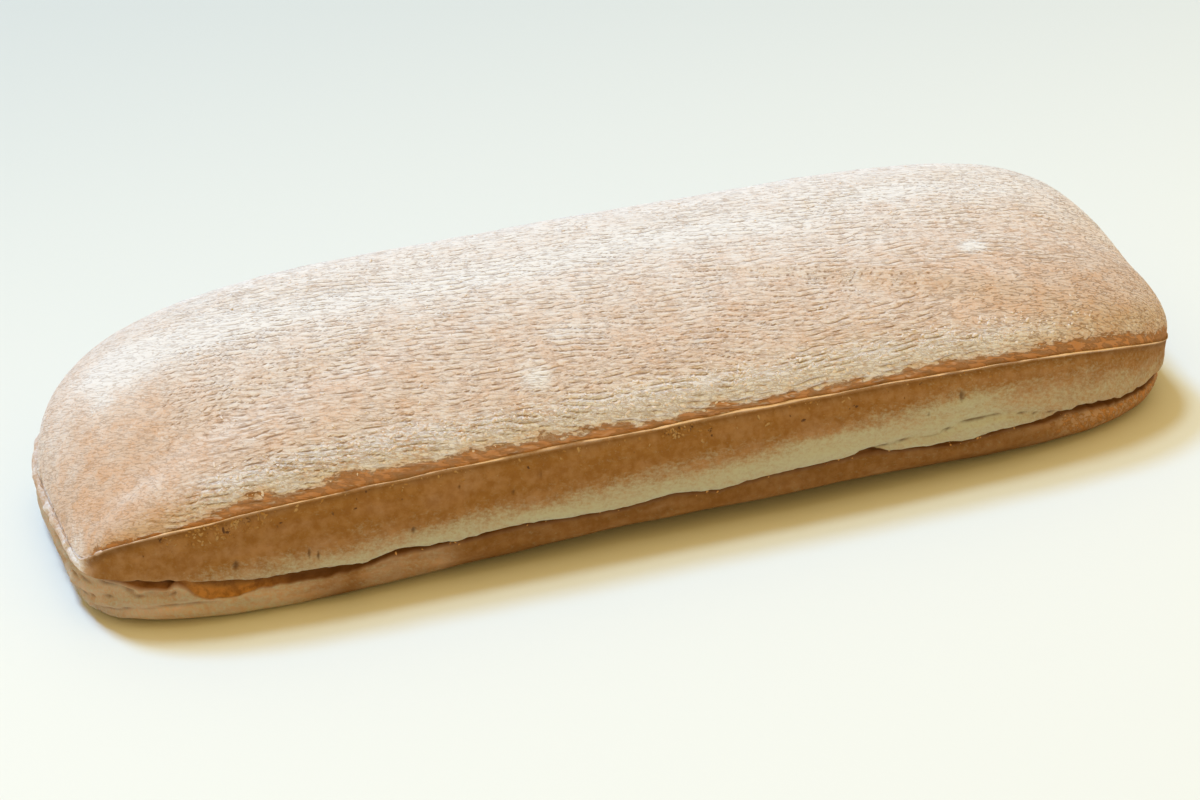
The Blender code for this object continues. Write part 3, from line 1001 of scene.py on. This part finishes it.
    # Painted shade along the flour film's edge, in pits and folds, and where the skin tells dark, which on
    # the belly also browns it all along
    film_edge_shade = put("Math", {0: rim, 1: 0.7}, operation="MULTIPLY")
    fold_and_pit_shade = put("MapRange", {0: told["crack"], 1: 0.02, 2: 0.10, 3: 0.8, 4: 0.0}, **EASED)
    painted_shade = put("Math", {0: fold_and_pit_shade, 1: told["dark"]}, operation="MAXIMUM")

    # All these over the skin, one after the other
    layers = (
        (crest_highlight, FLOUR),
        (worn_lip_and_line_shade, TROUGH_SHADE),
        (told["lip"], LIP_PALE_HIGHLIGHT),
        (film_edge_shade, TOASTED_RED),
        (painted_shade, SCORCHED_AND_SHADE),
    )
    for share, shade in layers:
        skin = put("Mix", {0: share, 6: skin, 7: shade}, **COLOURS)

    # Torn crumb in the split: orange on its floor, with painted shade in its roof as dark crumb and where the
    # skin tells dark
    crumb = put("Mix", {0: told["bright"], 6: CRUMB_DARK, 7: CRUMB}, **COLOURS)
    shaded = put("MapRange", {0: mottle, 1: 0.40, 2: 0.65, 3: 0.0, 4: 0.55}, **EASED)
    crumb = put("Mix", {0: shaded, 6: crumb, 7: CRUMB_DARK}, **COLOURS)
    crumb = put("Mix", {0: told["dark"], 6: crumb, 7: SCORCHED_AND_SHADE}, **COLOURS)
    colour = put("Mix", {0: told["torn"], 6: skin, 7: crumb}, **COLOURS)
    material.node_tree.links.new(colour, shader.inputs["Base Color"])

    # Relief too fine for the mesh: grain, flour's thickness and the wrinkles' sharp troughs
    grains = put("Math", {0: grain, 1: 0.35}, operation="MULTIPLY")
    caked = put("Math", {0: clumps, 1: 0.45}, operation="MULTIPLY")
    cut = put("Math", {0: line, 1: 0.8}, operation="MULTIPLY")
    height = put("Math", {0: caked, 1: grains}, operation="ADD")
    height = put("Math", {0: height, 1: cut}, operation="SUBTRACT")
    bump = put("Bump", {"Height": height, "Strength": 0.7, "Distance": 0.3 * MM})
    material.node_tree.links.new(bump, shader.inputs["Normal"])
    shader.inputs["Metallic"].default_value = 0.0
    shader.inputs["IOR"].default_value = 1.45
    shader.inputs["Diffuse Roughness"].default_value = 0.5
    return material


def crumb_material():
    """Dry torn crumb: dull, with patches of pale straw and of toasted brown."""
    material, shader, put = new_material("dry_crumb", 0.9, 0.2)
    patches = put("TexNoise", {"Vector": places_in_mm(put), "Scale": 1 / 2.0, "Detail": 3.0})
    share = put("MapRange", {0: patches, 1: 0.32, 2: 0.52}, **EASED)
    colour = put("Mix", {0: share, 6: CRUMB_DARK, 7: CRUMB_PALE}, **COLOURS)
    material.node_tree.links.new(colour, shader.inputs["Base Color"])
    return material


def flake_material():
    """Lifted flakes of crust: brown, with scorched patches and straw-coloured floury ones."""
    material, shader, put = new_material("crust_flakes", 0.75, 0.3)
    patches = put("TexNoise", {"Vector": places_in_mm(put), "Scale": 1 / 3.0, "Detail": 2.0})
    brown = put("MapRange", {0: patches, 1: 0.36, 2: 0.46}, **EASED)
    floury = put("MapRange", {0: patches, 1: 0.48, 2: 0.60}, **EASED)
    colour = put("Mix", {0: brown, 6: SCORCHED_AND_SHADE, 7: TOASTED}, **COLOURS)
    colour = put("Mix", {0: floury, 6: colour, 7: FLAKE_PALE}, **COLOURS)
    material.node_tree.links.new(colour, shader.inputs["Base Color"])
    return material


def flour_material():
    """Flour caked into small clumps: matt, from nearly white to a pale tan."""
    material, shader, put = new_material("caked_flour", 0.95, 0.1)
    patches = put("TexNoise", {"Vector": places_in_mm(put), "Scale": 1 / 1.5, "Detail": 3.0})
    colour = put("Mix", {0: patches, 6: FLOUR, 7: SKIN}, **COLOURS)
    material.node_tree.links.new(colour, shader.inputs["Base Color"])
    return material


# ---- Small lumps on the crust ----
CLUMPS = 1300
FLAKES = 300
TORN_FLAKES = 16
SHREDS = 60
CLEAR_OF_LOAF = 90  # mm from the loaf's middle
NEAR_WALL = -0.49 * WIDTH  # across the loaf, where the near side's crease and split are looked up


class Surface:
    """The finished crust, for finding where small lumps sit on it. It is asked in mm, and gives a point in
    metres and which way is outwards there."""

    def __init__(self, loaf):
        mesh = loaf.data
        self.tree = BVHTree.FromPolygons([v.co for v in mesh.vertices], [p.vertices for p in mesh.polygons])

    def from_above(self, along, across):
        """Where a line straight down meets the crust."""
        return self.tree.ray_cast(Vector((along, across, CLEAR_OF_LOAF)) * MM, Vector((0, 0, -1)))[:2]

    def from_near_side(self, along, height):
        """Where a level line in from the near side meets it."""
        return self.tree.ray_cast(Vector((along, -CLEAR_OF_LOAF, height)) * MM, Vector((0, 1, 0)))[:2]


def lumps(name, spots, seed):
    """Small uneven lumps as one piece. Each spot is (point, normal, half sizes in mm, tilt in degrees)."""
    steady = random.Random(seed)
    bm = bmesh.new()
    bmesh.ops.create_uvsphere(bm, u_segments=7, v_segments=4, radius=1)
    lump = finished(bm, "lump")
    ball = [vertex.co.copy() for vertex in lump.vertices]
    bm = bmesh.new()
    for point, normal, size, tilt in spots:
        upright = normal.to_track_quat("Z", "X").to_matrix().to_4x4()
        spun = Matrix.Rotation(steady.uniform(0, 2 * math.pi), 4, "Z")
        tilted = Matrix.Rotation(math.radians(tilt), 4, "X")
        sized = Matrix.Diagonal((*(half * MM for half in size), 1))
        moved = Matrix.Translation(point) @ upright @ spun @ tilted @ sized
        for vertex, place in zip(lump.vertices, ball):
            vertex.co = moved @ (place * (1 + steady.uniform(-0.3, 0.3)))
        bm.from_mesh(lump)
    mesh = finished(bm, name)
    bpy.data.meshes.remove(lump)
    mesh.shade_smooth()
    return placed(name, mesh)


def crease_at(along):
    """Height of the near side's crease at a place along the loaf."""
    return float(crease_height(np.array([[along, NEAR_WALL]]))[0])


def flour_clumps(surface):
    """Clumps of flour on the top: most in the grey band above the crease, some in the white patches."""
    steady = random.Random(101)
    spots = []
    while len(spots) < CLUMPS:
        along, across = steady.uniform(-116, 116), steady.uniform(-45, 34)
        point, normal = surface.from_above(along, across)
        if point is None:
            continue
        above = point.z / MM - crease_at(along)
        grey = 2.5 < above < 11 and across < 0
        if above < 2.5 or steady.random() > (1.0 if grey else 0.06):
            continue
        half = 0.14 + (0.30 if grey else 0.22) * steady.random() ** 2
        spots.append((point, normal, (half * steady.uniform(1, 2.2), half, 0.45 * half), 0))
    return lumps("flour_clumps", spots, 102)


def skin_flakes(surface):
    """Flakes of crust that lift just below the crease, and a torn one at its middle."""
    steady = random.Random(111)
    spots = []
    while len(spots) < FLAKES:
        along = steady.gauss(-116, 6) if steady.random() < 0.35 else steady.uniform(-132, 90)
        below = 0.5 + 4.0 * steady.random() ** 2
        point, normal = surface.from_near_side(along, crease_at(along) - below)
        if point is None:
            continue
        half = 0.10 + 0.28 * steady.random() ** 2
        size = (half * steady.uniform(1, 2.4), half, 0.1)
        spots.append((point, normal, size, steady.uniform(-20, 20)))
    for _ in range(TORN_FLAKES):
        along, below = steady.gauss(-0.5, 1.8), steady.uniform(0.4, 2.2)
        point, normal = surface.from_near_side(along, crease_at(along) - below)
        size = (steady.uniform(0.4, 0.8), 0.35, 0.25)
        spots.append((point, normal, size, steady.uniform(-30, 30)))
    return lumps("skin_flakes", spots, 112)


def crumb_shreds(surface):
    """Bits of torn crumb along the split."""
    steady = random.Random(121)
    spots = []
    while len(spots) < SHREDS:
        along = steady.uniform(-95, 143)
        line = float(split_line(np.array([[along, NEAR_WALL]]))[0])
        height = line + steady.gauss(-0.6, 0.4)
        point, normal = surface.from_near_side(along, height)
        if point is None:
            continue
        half = steady.uniform(0.12, 0.3)
        size = (half * steady.uniform(1, 2.0), half, 0.35 * half)
        spots.append((point, normal, size, steady.uniform(-8, 8)))
    return lumps("crumb_shreds", spots, 122)


# ---- Stage ----
CAMERA_TURN = -20.967  # in degrees, to the left of the near side
CAMERA_RISE = 30.0
CAMERA_DISTANCE = 0.9087
CAMERA_LENS = 105.8
CAMERA_TARGET = Vector((0.5, 0, 20)) * MM
AIM_ASIDE = -4.07 * MM  # how far to the right of the target, and how far above it, the camera aims
AIM_UP = -5.76 * MM


def camera():
    """The camera, in front of the near side, to its left and above."""
    turn, rise = math.radians(CAMERA_TURN), math.radians(CAMERA_RISE)
    back = Vector((math.sin(turn) * math.cos(rise), -math.cos(turn) * math.cos(rise), math.sin(rise)))
    right = Vector((math.cos(turn), math.sin(turn), 0))
    up = back.cross(right)
    data = bpy.data.cameras.new("camera")
    data.lens = CAMERA_LENS
    data.sensor_width = 36
    data.clip_start, data.clip_end = 0.05, 50
    obj = placed("camera", data)
    obj.location = CAMERA_TARGET + back * CAMERA_DISTANCE
    aim = CAMERA_TARGET + right * AIM_ASIDE + up * AIM_UP
    obj.rotation_euler = (aim - obj.location).to_track_quat("-Z", "Y").to_euler()
    bpy.context.scene.camera = obj


# Two lamps behind the left end and a weak one overhead: (name, where it hangs in metres, power, colour, size)
LAMPS = (
    ("high_window", (-0.66, 0.82, 3.60), 77, (0.44, 0.60, 0.68), 0.7),
    ("low_sky", (-1.02, 1.44, 3.10), 80, (0.25, 0.53, 1.0), 0.7),
    ("ceiling", (0.10, -0.30, 3.50), 22, (0.50, 0.42, 0.27), 2.0),
)
WARM_ROOM = (0.84, 0.59, 0.19, 1)
COOL_ROOM = (0.68, 0.54, 0.27, 1)
BACKDROP = linear("#EEF0EA")


def light():
    """Soft window light from behind the left end, bluer from lower down, in a room warmer in front."""
    for name, place, power, colour, size in LAMPS:
        data = bpy.data.lights.new(name, "AREA")
        data.shape = "DISK"
        data.size = size
        data.energy = power
        data.color = colour
        obj = placed(name, data)
        obj.location = place
        obj.rotation_euler = (-Vector(place)).to_track_quat("-Z", "Y").to_euler()
        obj.visible_camera = False

    world = bpy.data.worlds.new("room")
    world.use_nodes = True
    bpy.context.scene.world = world
    world.node_tree.nodes.clear()
    put = partial(add, world.node_tree)
    depth = put("SeparateXYZ", {0: put("TexCoord", out="Generated")}, out="Y")
    share = put("MapRange", {0: depth, 1: -0.7, 2: 0.7}, **EASED)
    room = put("Background", {"Color": put("Mix", {0: share, 6: WARM_ROOM, 7: COOL_ROOM}, **COLOURS)})
    backdrop = put("Background", {"Color": BACKDROP})
    seen = put("LightPath", out="Is Camera Ray")
    put("OutputWorld", {"Surface": put("MixShader", {0: seen, 1: room, 2: backdrop})})


CARD_FRONT = linear("#E6E6E2")
# The card's back is greyer: painted shade, as if less light reached it there
CARD_BACK_SHADE = linear("#C4C9CA")
CARD_SHADE_FADE = (-0.08, 0.46)  # where along Y the card's tone starts and ends changing, in metres
CARD_REACH = 8  # metres from the middle to each edge


def floor():
    """A large card, lit evenly in front, with painted shade that makes it a little greyer towards the back.
    """
    bm = bmesh.new()
    bmesh.ops.create_grid(bm, x_segments=1, y_segments=1, size=CARD_REACH)
    mesh = finished(bm, "floor")
    material, shader, put = new_material("pale_card", 0.9, 0.1)
    back = put("SeparateXYZ", {0: put("TexCoord", out="Object")}, out="Y")
    share = put("MapRange", {0: back, 1: CARD_SHADE_FADE[0], 2: CARD_SHADE_FADE[1]}, **EASED)
    tone = put("Mix", {0: share, 6: CARD_FRONT, 7: CARD_BACK_SHADE}, **COLOURS)
    material.node_tree.links.new(tone, shader.inputs["Base Color"])
    mesh.materials.append(material)
    placed("floor", mesh)


def main():
    """Sets the stage, builds the loaf, and ties each piece to the part."""
    camera()
    light()
    floor()
    bpy.context.scene.view_settings.view_transform = "Standard"
    loaf = crust()
    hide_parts("loaf")
    surface = Surface(loaf)
    pieces = (
        (loaf, crust_material()),
        (flour_clumps(surface), flour_material()),
        (skin_flakes(surface), flake_material()),
        (crumb_shreds(surface), crumb_material()),
    )
    for piece, material in pieces:
        piece.data.materials.append(material)
        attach(piece, "root")


main()
